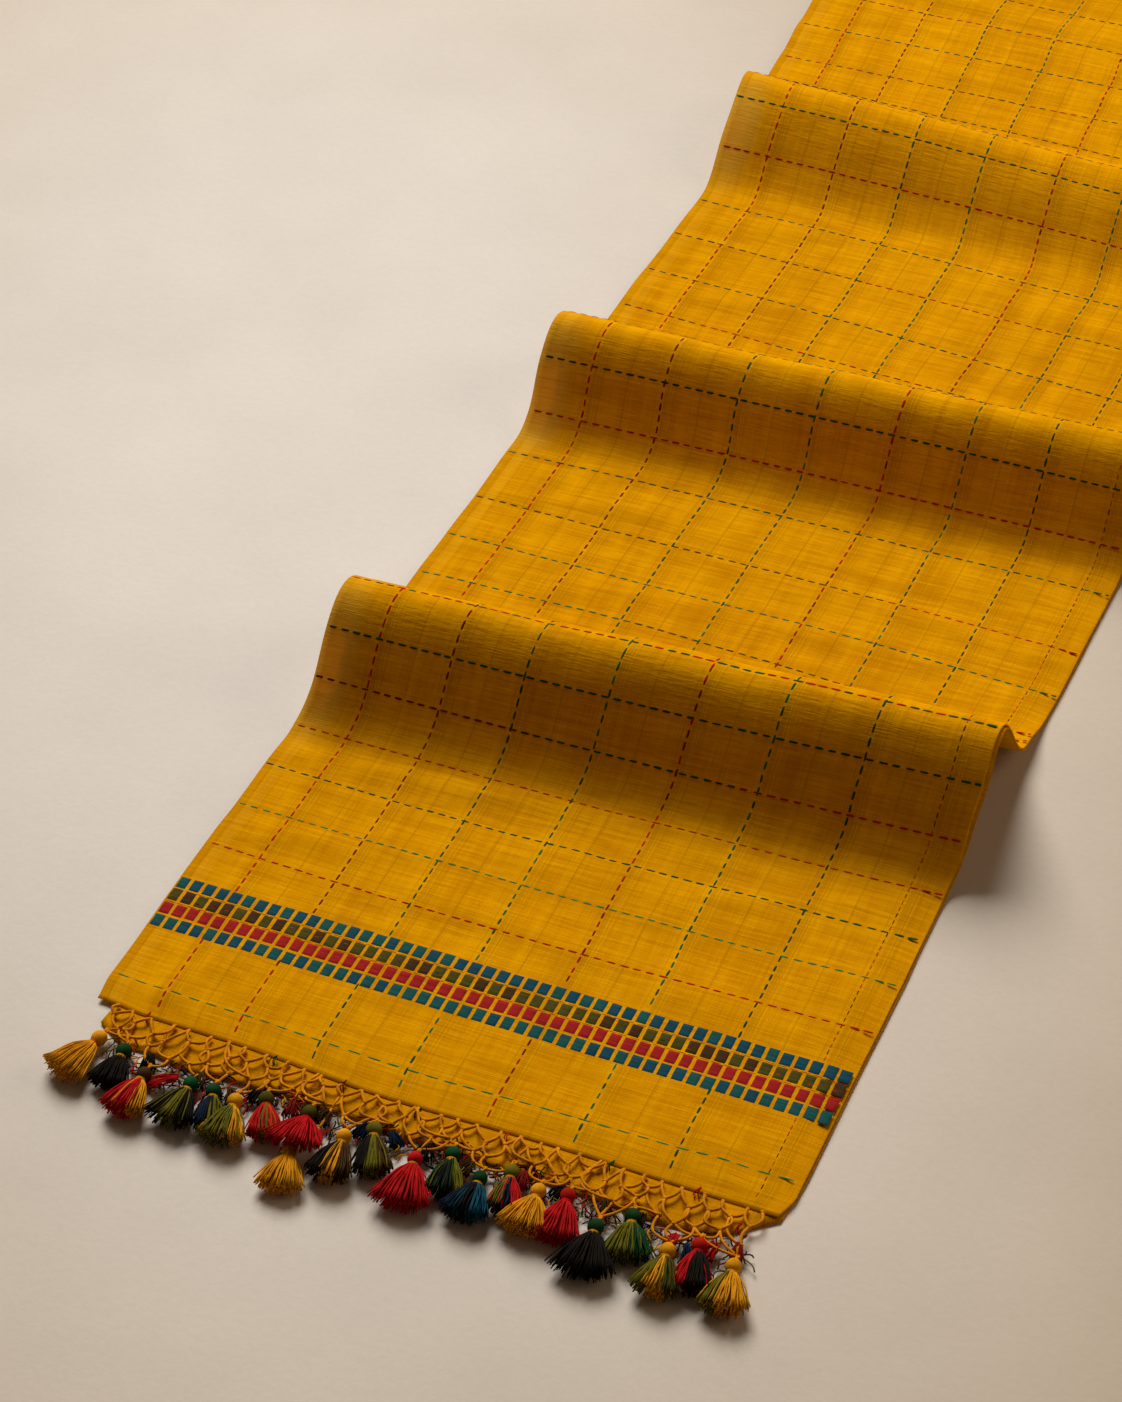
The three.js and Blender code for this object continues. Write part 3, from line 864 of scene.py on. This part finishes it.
wobble = RNG.uniform(0, 50, len(WARPS))
for k, w in enumerate(WARPS):
    v = 5.0 + RNG.uniform(0, 4)
    end = arc(PILE_FRONT) - 4
    thin = 0.55 if k == EDGE_WARP else 1.0
    pitch = 5.0 if k == EDGE_WARP else PITCH
    while v < end:
        length = pitch * RNG.uniform(0.68, 0.8)
        if BAND_START < v + length / 2 < BAND_END:
            v += pitch
            continue
        pick = any_of(WARP_COLOURS[k])
        if k == 1:
            pick = "red" if station(v) < 48 else "dark_red"
        aside = 0.5 * float(noise(v / 60, wobble[k], 51))

        def at(p, q, w=w, aside=aside):
            s = station(p)
            return cloth_at(across_to_x(w / STRIP_WIDTH, s) + aside + q, s)

        dash(at, v, v + length, 1.35 * thin * RNG.uniform(0.85, 1.15), pick)
        v += pitch * RNG.uniform(0.94, 1.06)

for n, (s_left, s_mid, s_right, colours) in enumerate(WEFTS):
    x = 0.3 + RNG.uniform(0, 3)
    pitch, wide = (10.5, 1.15) if n == 0 else (PITCH, 1.4)

    def at(p, q, a=s_left, b=s_mid, c=s_right):
        f = p / STRIP_WIDTH
        line_s = a * (1 - f) * (1 - 2 * f) + 4 * b * f * (1 - f) + c * f * (2 * f - 1)
        s = station(arc(line_s) + q)
        return cloth_at(across_to_x(f, s), s)

    while x < 378:
        length = pitch * RNG.uniform(0.66, 0.8)
        pick = weft_colour(colours, x / STRIP_WIDTH)
        dash(at, x, min(x + length, 379.8), wide * RNG.uniform(0.85, 1.15), pick)
        x += pitch * RNG.uniform(0.94, 1.06)

# the same checks on the top of the pile
for k, w in enumerate(WARPS):
    v = 3.0
    wide, pitch = (0.6, 5.4) if k == EDGE_WARP else (1.1, 7.7)
    while v < PANEL_LENGTH - 22:
        pick = any_of(WARP_COLOURS[k])
        dash(lambda p, q, w=w: pile_top(w + q, p), v, v + 5.0, wide, pick, 0.3)
        v += pitch
for n in range(11):
    x = 4.0
    row = 14 + 38.0 * n
    while x < 372:
        pick = any_of(WEFTS[(n + 3) % len(WEFTS)][3])
        dash(lambda p, q, row=row: pile_top(p, row + q), x, x + 5.0, 1.05, pick, 0.3)
        x += 7.6

# ---- the band of woven blocks ----

ROW_COLOURS = [
    ("block_teal", "block_teal", "block_blue"),
    ("block_red", "block_red", "block_red"),
    ("block_olive", "block_brown", "block_olive"),
    ("block_blue", "block_blue", "block_teal"),
]
STRAY_COLOURS = ("orange", "black", "dark_red")
BAND_NEAR = 53.5
BAND_ROW = 10.1
BLOCKS = 49
ACROSS_STEPS = np.array([0, 0.05, 0.35, 0.65, 0.95, 1])
ALONG_STEPS = np.array([0, 0.04, 0.25, 0.5, 0.75, 0.96, 1])


def straight_at(p, q, line_s):
    """Along a straight line across the cloth."""
    return cloth_at(across_to_x(p / STRIP_WIDTH, line_s + q), line_s + q)


for row, row_colours in enumerate(ROW_COLOURS):
    for c in range(BLOCKS):
        f0 = (c + 0.11 + RNG.uniform(-0.02, 0.02)) / BLOCKS
        f1 = (c + 0.88 + RNG.uniform(-0.03, 0.03)) / BLOCKS
        s0 = BAND_NEAR + row * BAND_ROW + RNG.uniform(-0.2, 0.2)
        s1 = s0 + BAND_ROW * 0.87 + RNG.uniform(-0.25, 0.25)
        frac, s = np.meshgrid(f0 + (f1 - f0) * ACROSS_STEPS, s0 + (s1 - s0) * ALONG_STEPS)
        frac = frac + RNG.uniform(-0.0003, 0.0003, frac.shape)
        s = s + RNG.uniform(-0.1, 0.1, s.shape)
        pts, norm = cloth_at(across_to_x(frac, s), s)
        up = np.full(frac.shape, 0.2)
        up[0] = up[-1] = -0.05
        up[:, 0] = up[:, -1] = -0.05
        add_patch(pts + norm * up[..., None], any_of(row_colours))
        if row == 2 and RNG.uniform() < 0.4:
            stray = partial(straight_at, line_s=s0 + RNG.uniform(1.5, 6.5))
            mid_x = STRIP_WIDTH * (f0 + f1) / 2 + RNG.uniform(-1.5, 1.5)
            dash(stray, mid_x - 1.6, mid_x + 1.6, 0.8, any_of(STRAY_COLOURS), 0.42)
    if row in (1, 2):
        between = partial(straight_at, line_s=BAND_NEAR + (row + 1) * BAND_ROW - 0.85)
        x = 1.0
        while x < 377:
            dash(between, x, x + 6.2, 0.5, "orange", 0.2)
            x += 6.3

for colour, (verts, faces) in stitch.items():
    if not verts:
        continue
    piece = new_object("stitches_" + colour, verts, faces, None, [thread[colour]])
    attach(piece, "root")

# ---- tassels and net ----

# Each tassel: x and y of its head, turn in degrees from straight out of the hem, length of its
# skirt, half its width, how high it lies, and the colours of its head, skirt and binding.
TASSEL_COLUMNS = ("x", "y", "turn", "reach", "spread", "lie", "head", "skirt", "bind")
TASSEL_ROWS = [
    (-177, -32, -13, 31, 13, 4.8, "gold", ("gold",), "orange"),
    (-161, -35.5, 6, 25, 11, 0.5, "green", ("black",), "gold"),
    (-144, -46, 2, 29, 12, 4.8, "brown", ("crimson", "crimson", "gold"), "gold"),
    (-119, -43, 1, 29, 14, 4.8, "dark_teal", ("black", "moss", "black"), "gold"),
    (-106, -43, 20, 26, 9, 0.5, "green", ("navy", "black", "moss"), "gold"),
    (-93, -45, 10, 29, 13, 4.8, "gold", ("moss", "moss", "gold"), "gold"),
    (-79, -38, 24, 26, 10, 0.5, "olive", ("crimson", "moss", "orange"), "orange"),
    (-55, -38, 6, 28, 16, 9.0, "olive", ("crimson",), "crimson"),
    (-53, -64, 12, 27, 13, 0.5, "gold", ("gold",), "gold"),
    (-32, -46, 8, 30, 12, 4.8, "gold", ("black", "gold", "brown"), "gold"),
    (-20, -36, 22, 30, 11, 0.5, "moss", ("black", "moss", "brown"), "gold"),
    (7, -46, 10, 33, 16, 4.8, "crimson", ("crimson",), "gold"),
    (23, -36, 14, 28, 11, 0.5, "dark_teal", ("green", "black", "moss"), "gold"),
    (42, -45.5, 5, 28, 13, 4.8, "green", ("navy", "black", "blue"), "gold"),
    (55, -36, 12, 26, 10, 0.5, "moss", ("moss", "navy", "crimson"), "gold"),
    (72, -42.5, 4, 28, 14, 4.8, "gold", ("gold",), "gold"),
    (86.5, -39.5, 8, 30, 13, 2.0, "red", ("crimson",), "crimson"),
    (107, -53, 8, 32, 17, 4.8, "green", ("black",), "gold"),
    (121, -40, 16, 28, 13.5, 0.5, "green", ("moss", "moss", "green"), "gold"),
    (145, -54, 8, 29, 13, 4.8, "gold", ("moss", "gold", "olive"), "gold"),
    (158, -45, 12, 29, 11, 0.5, "red", ("crimson", "black", "black"), "crimson"),
    (178, -51, 10, 30, 13, 4.8, "gold", ("moss", "gold", "gold"), "gold"),
]
TASSELS = [dict(zip(TASSEL_COLUMNS, row)) for row in TASSEL_ROWS]
LONE = 8
GOLDEN_ANGLE = 2.399963
SKIRT_THREADS = 180
HEAD_R = 4.1
HEAD_Z = 4.6
THREAD_RADII = np.array([0.36, 0.42, 0.44, 0.44, 0.43, 0.41, 0.34])


def ball(centre, ahead, radius, verts, faces, stretch=1.12):
    """A wound ball head, a little longer than wide, its axis along the tassel."""
    side = np.cross([0, 0, 1.0], ahead)
    up = np.cross(ahead, side)
    rings, sides = 14, 20
    base = len(verts)
    for j in range(rings + 1):
        a = math.pi * j / rings
        for i in range(sides):
            b = 2 * math.pi * i / sides
            groove = 1 + 0.018 * math.cos(b * 10 + a * 3)
            r = radius * math.sin(a) * groove
            out = side * r * math.cos(b) + up * r * math.sin(b)
            verts.append(centre + ahead * (-math.cos(a) * radius * stretch) + out)
    for j in range(rings):
        for i in range(sides):
            p = base + j * sides + i
            q = base + j * sides + (i + 1) % sides
            faces.append((p, q, q + sides, p + sides))


for number, t in enumerate(TASSELS):
    name = "tassel_%02d" % (number + 1)
    rng = np.random.default_rng(100 + number)
    turn = math.radians(t["turn"])
    ahead, side = directions(turn)
    centre = np.array([t["x"], t["y"], HEAD_Z])
    mats, index, verts, faces = [], [], [], []

    def finish_as(colour):
        """Gives every face since the last call this thread."""
        if thread[colour] not in mats:
            mats.append(thread[colour])
        index.extend([mats.index(thread[colour])] * (len(faces) - len(index)))

    ball(centre, ahead, HEAD_R * rng.uniform(0.93, 1.02), verts, faces)
    finish_as(t["head"])
    # neck binding: a few turns of thread
    around = np.linspace(0, 2 * math.pi, 17)[:, None]
    ring = side * 2.5 * np.cos(around) + np.array([0, 0, 2.2]) * np.sin(around)
    for k in range(4):
        tube(centre + ahead * (k * 0.62 + 4.0) + ring, 0.42, 5, verts, faces)
    finish_as(t["bind"])
    # the skirt: its threads spread evenly over a flattened disc
    tip_low = max(0.6, t["lie"] - 3.7)
    tip_high = 0.62 * t["lie"] + 10.6
    f = np.linspace(0, 1, 7)
    bulge = 1.3 * np.sin(math.pi * np.minimum(f * 1.15, 1))
    for k in range(SKIRT_THREADS):
        radius = math.sqrt((k + 0.5) / SKIRT_THREADS)
        angle = k * GOLDEN_ANGLE + rng.uniform(-0.2, 0.2)
        sx = radius * math.cos(angle)
        sz = radius * math.sin(angle)
        over = 0.5 + 0.5 * sz
        reach = t["reach"] * (1.03 - 0.13 * sx * sx) * rng.uniform(0.94, 1.03)
        tip_side = t["spread"] * sx * rng.uniform(0.95, 1.08)
        tip_z = tip_low + (tip_high - tip_low) * over
        wave = rng.uniform(-0.5, 0.5, 2)
        across = sx * 1.9 * (1 - f) + tip_side * f**0.78 + wave[0] * np.sin(f * 7 + k)
        z = (HEAD_Z + sz * 1.9) * (1 - f) + tip_z * f + bulge * over
        z = np.maximum(z + wave[1] * 0.5 * np.sin(f * 6 + k), 0.45)
        path = laid(t["x"], t["y"], turn, 3.8 + (reach - 3.8) * f, across, z)
        tube(path, THREAD_RADII, 4, verts, faces)
        pick = t["skirt"][0]
        if len(t["skirt"]) == 3:
            choose = int((sx + 1) / 2 * 2.99) if rng.uniform() < 0.72 else int(rng.integers(3))
            pick = t["skirt"][choose]
        finish_as(pick)
    piece = new_object("skirted_" + name, verts, faces, None, mats, index)
    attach(piece, "root")
    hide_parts(name)

# the net: cords from the hem through two staggered rows of knots to each head
heads = [t for i, t in enumerate(TASSELS) if i != LONE]
rng = np.random.default_rng(5)
net_v, net_f = [], []
head_marks = [(t["x"] - 4.0 * math.sin(math.radians(t["turn"])), t["y"] + 7.0) for t in heads]
NET_COLUMNS = 34


def net_low(x):
    """How far out the lowest knots lie."""
    return float(np.interp(x, [m[0] for m in head_marks], [m[1] for m in head_marks]))


def net_row(count, share, first, last):
    """A row of knots, a share of the way from the hem to the lowest ones."""
    points = []
    for k in range(count):
        x = first + (last - first) * k / (count - 1) + rng.uniform(-2.3, 2.3)
        top_y = HEM + float(table(HEM_LINE, x)) - 1.2
        y = top_y + (net_low(x) - top_y) * share + rng.uniform(-2.2, 2.2) * (share > 0)
        points.append(np.array([x, y, 3.3 + rng.uniform(0, 1.1) * (share > 0)]))
    return points


hem_knots = net_row(NET_COLUMNS, 0.0, -181, 180)
first_knots = net_row(NET_COLUMNS - 1, 0.34, -177, 177)
second_knots = net_row(NET_COLUMNS - 2, 0.72, -173, 175)


def cord(a, b, bow=1.0, radius=0.85):
    """A limp cord between two knots that sags toward the fringe and lifts a little."""
    a = np.asarray(a, float)
    b = np.asarray(b, float)
    run = b - a
    span = np.linalg.norm(run)
    perp = np.array([-run[1], run[0], 0.0]) / (span + 1e-6)
    perp = perp * (-1 if perp[1] > 0 else 1)
    amount = bow * rng.uniform(0.02, 0.32) * span
    rise = rng.uniform(0.2, 1.6)
    f = np.linspace(0, 1, 9)[:, None]
    swell = np.sin(math.pi * f)
    path = a + run * f + perp * amount * swell + np.array([0, 0, rise]) * swell
    tube(path, radius, 7, net_v, net_f)


def knot(p, size=1.7):
    """Three turns of cord around a point."""
    around = np.linspace(0, 2 * math.pi, 11)[:, None]
    for k in range(3):
        axis, across = directions(rng.uniform(0, math.pi))
        ring = across * np.cos(around) + np.array([0, 0, 0.8]) * np.sin(around)
        tube(p + size * 0.62 * ring + axis * (k - 1) * 0.5, 0.62, 5, net_v, net_f)


for k, m in enumerate(first_knots):
    for a in (hem_knots[k], hem_knots[k + 1]):
        cord(a, m)
    knot(m, 1.5)
for k, m in enumerate(second_knots):
    for a in (first_knots[k], first_knots[k + 1]):
        cord(a, m, 1.3)
    knot(m, 1.6)
for k in range(0, NET_COLUMNS, 3):
    knot(hem_knots[k], 1.1)
# limp loops that cross the net and lie on it
for k in range(0, NET_COLUMNS - 4, 5):
    a = hem_knots[k + int(rng.integers(2))] + [rng.uniform(-2, 2), 0, 0.6]
    b = second_knots[min(k + int(rng.integers(3)), NET_COLUMNS - 3)] + [0, 0, 1.2]
    cord(a, b, 1.5, 0.8)
for t, mark in zip(heads, head_marks):
    low_knot = np.array([mark[0], mark[1], 4.0])
    near = sorted(second_knots, key=lambda p: abs(p[0] - mark[0]))[: 2 + int(rng.uniform() < 0.5)]
    for p in near:
        cord(p, low_knot + rng.uniform(-0.5, 0.5, 3), 1.2, 0.75)
    knot(low_knot, 1.7)
    ahead, side = directions(math.radians(t["turn"]))
    top = np.array([t["x"], t["y"], HEAD_Z]) - ahead * 4.2
    cord(low_knot, top, 0.5, 0.8)
    cord(low_knot + [0.9, 0, 0.3], top + [0.6, 0, 0.2], 0.4, 0.7)
# the tassel in front hangs between two others on a cord of its own
lone = [(-46.2, -22, 3.6), (-46.3, -30, 3.4), (-46.4, -36, 3.2), (-46.8, -44, 3.0), (-52.4, -59.6, 4.2)]
for a, b in zip(lone, lone[1:]):
    cord(a, b, 0.3, 0.75)
net = new_object("fringe_net", net_v, net_f, None, [thread["yellow_cord"]])
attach(net, "root")
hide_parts("knotted_net")

# loose thread ends where the stitched lines run out at the hem
LOOSE_ENDS = [
    (-162, -6, "red"),
    (-88, -9, "dark_teal"),
    (-48, -11, "dark_red"),
    (-5, -14, "green"),
    (42, -12, "orange"),
    (98, -10, "dark_teal"),
    (144, -10, "red"),
    (171, -24, "crimson"),
    (176, -30, "dark_red"),
]
for x, y, colour in LOOSE_ENDS:
    verts, faces = [], []
    f = np.linspace(0, 1, 7)
    for k in range(3):
        lean = rng.uniform(-0.7, 0.7)
        path_x = x + 3.5 * lean * f + 0.7 * np.sin(6 * f + k)
        path = np.stack([path_x, y + 1 - 6.0 * f, 3.4 + 1.3 * np.sin(3 * f + k)], -1)
        tube(path, 0.36, 4, verts, faces)
    name = "loose_ends_%s_%d" % (colour, int(x + 200))
    ends = new_object(name, verts, faces, None, [thread[colour]])
    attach(ends, "root")

# short bundles of loose thread that show behind the tassels; the dark ones along the heads' line also serve
# as painted shade between the heads
# x, y, turn in degrees, length, half width and colour.
THREAD_BUNDLES_AND_SHADE = [
    (-127, -41, -55, 17, 4, "crimson"),
    (-99, -38, 30, 11, 4, "brown"),
    (-24, -33, -20, 11, 4, "navy"),
    (-11, -34, 40, 10, 4, "navy"),
    (-148, -32, 20, 10, 5, "black"),
    (-118, -34, 10, 10, 5, "brown"),
    (-84, -33, -15, 9, 5, "black"),
    (-66, -34, 20, 10, 5, "dark_red"),
    (-46, -33, -10, 9, 5, "brown"),
    (8, -35, 15, 10, 5, "black"),
    (34, -36, -20, 10, 5, "brown"),
    (60, -33, 10, 11, 5, "dark_red"),
    (82, -34, -15, 9, 5, "black"),
    (104, -35, 20, 10, 5, "brown"),
    (124, -36, -10, 10, 5, "black"),
    (145, -42, -10, 9, 4, "crimson"),
    (152, -46, 20, 11, 3, "navy"),
    (165, -40, -15, 12, 5, "crimson"),
    (175, -36, 15, 12, 4, "dark_red"),
]
for number, (x, y, degrees, reach, spread, colour) in enumerate(THREAD_BUNDLES_AND_SHADE):
    verts, faces = [], []
    turn = math.radians(degrees)
    f = np.linspace(0, 1, 6)
    for k in range(26):
        lean = rng.uniform(-1, 1)
        lift = rng.uniform(0, 1)
        along = reach * f * (1 - 0.15 * abs(lean))
        across = spread * lean * (0.35 + 0.65 * f) + 0.5 * np.sin(5 * f + k)
        z = 2.8 + 2.6 * lift + 1.2 * np.sin(math.pi * f) - 1.6 * f
        tube(laid(x, y, turn, along, across, z), 0.4, 4, verts, faces)
    name = "loose_bundle_and_shade_%d" % (number + 1)
    bundle = new_object(name, verts, faces, None, [thread[colour]])
    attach(bundle, "root")

# fine tangled ends, mostly dark, that fill the gaps between the heads: loose threads, and painted shade over
# the floor there
TANGLE_AND_SHADE_COLOURS = ["brown", "dark_red", "black", "navy", "gold", "crimson", "moss", "brown"]
verts, faces, index = [], [], []
f = np.linspace(0, 1, 7)
for k in range(420):
    x = rng.uniform(-172, 180)
    y = net_low(x) + rng.uniform(-9, 8)
    turn = rng.uniform(-1.4, 1.4)
    reach = rng.uniform(5, 13)
    z = rng.uniform(0.6, 2.6) + 1.4 * np.sin(math.pi * f)
    across = rng.uniform(0.5, 1.8) * np.sin(5 * f + k)
    before = len(faces)
    tube(laid(x, y, turn, reach * f, across, z), 0.42, 4, verts, faces)
    index.extend([int(rng.integers(len(TANGLE_AND_SHADE_COLOURS)))] * (len(faces) - before))
tangle_and_shade_mats = [thread[c] for c in TANGLE_AND_SHADE_COLOURS]
tangle_and_shade = new_object("loose_tangle_and_shade", verts, faces, None, tangle_and_shade_mats, index)
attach(tangle_and_shade, "root")

# ---- camera ----

# The focal length in pixels of the photo, and how many of them its longer side has.
FOCAL = 4131.5
PHOTO_SIDE = 1402
cam_data = bpy.data.cameras.new("camera")
cam_data.sensor_width = 36.0
cam_data.lens = FOCAL / PHOTO_SIDE * 36.0
cam = in_scene("camera", cam_data)
cam.location = (0.642 + X0, -1.290 + Y0, 1.515)
pitch, yaw, roll = math.radians(40.995), math.radians(23.907), math.radians(-1.051)
level = math.cos(pitch)
forward = Vector((-math.sin(yaw) * level, math.cos(yaw) * level, -math.sin(pitch)))
right = Vector((math.cos(yaw), math.sin(yaw), 0.0))
up = right.cross(forward)
rolled_right = right * math.cos(roll) + up * math.sin(roll)
rolled_up = up * math.cos(roll) - right * math.sin(roll)
cam.rotation_euler = Matrix((rolled_right, rolled_up, -forward)).transposed().to_euler()
scene = bpy.context.scene
scene.camera = cam

# ---- floor and light ----

FLOOR_Z = -0.0006
corners = [(x, y, FLOOR_Z) for x, y in ((-4, -4), (4, -4), (4, 5), (-4, 5))]
floor_mesh = bpy.data.meshes.new("floor")
floor_mesh.from_pydata(corners, [], [(0, 1, 2, 3)])
floor = in_scene("floor", floor_mesh)
floor_mat, tree, bsdf = principled("floor_paper", (0.66, 0.57, 0.47), 0.9, 0.1)
calc = partial(math_node, tree)
spot = new_node(tree, "TexCoord").outputs["Object"]
grain = stretched_noise(tree, spot, (230, 230, 230), 4, 0.65)
blotch = stretched_noise(tree, spot, (7, 7, 7), 4, 0.55)
mottle = calc("MULTIPLY_ADD", grain, 0.7, calc("MULTIPLY_ADD", blotch, 1.6, -0.65))
tone = mix_colour(tree, mottle, (0.698, 0.662, 0.634), (0.785, 0.752, 0.722))
# painted light pool: the paper is painted palest beside the strip and darker and browner away from it, a
# painted falloff of the light
middle = (X0 - 0.26, Y0 + 0.44, 0.0)
turned = (0.0, 0.0, math.radians(28))
painted_light_pool = new_node(tree, "Mapping", Location=middle, Rotation=turned, Scale=(0.585, 1.13, 1.0), Vector=spot)
painted_light_pool.vector_type = "TEXTURE"
away = new_node(tree, "VectorMath")
away.operation = "DOT_PRODUCT"
for socket in away.inputs[:2]:
    fill(tree, socket, painted_light_pool.outputs[0])
painted_falloff = calc("MINIMUM", away.outputs["Value"], 1.0)
tone = mix_colour(tree, painted_falloff, tone, mix_colour(tree, 1.0, tone, (0.60, 0.51, 0.375), "MULTIPLY"))
fill(tree, bsdf.inputs["Base Color"], tone)
fill(tree, bsdf.inputs["Normal"], bump_node(tree, grain, 0.25, 0.0006))
floor_mesh.materials.append(floor_mat)


def area(name, place_at, aim, size, power, colour):
    data = bpy.data.lights.new(name, "AREA")
    data.shape = "DISK"
    data.size = size
    data.energy = power
    data.color = colour
    lamp = in_scene(name, data)
    lamp.location = place_at
    lamp.rotation_euler = (Vector(aim) - Vector(place_at)).to_track_quat("-Z", "Y").to_euler()


middle = (X0, Y0 + 0.35, 0.0)
area("key", (X0 - 3.05, Y0 + 5.36, 5.45), middle, 4.8, 840, (1.0, 0.95, 0.87))
area("fill", (X0 + 2.3, Y0 + 1.6, 1.5), (X0, Y0 + 0.3, 0.0), 2.0, 16, (1.0, 0.74, 0.48))
scene.view_settings.view_transform = "Standard"
world = bpy.data.worlds.new("studio")
scene.world = world
world.use_nodes = True
background = world.node_tree.nodes["Background"]
background.inputs[0].default_value = (1.0, 0.67, 0.42, 1)
background.inputs[1].default_value = 0.078
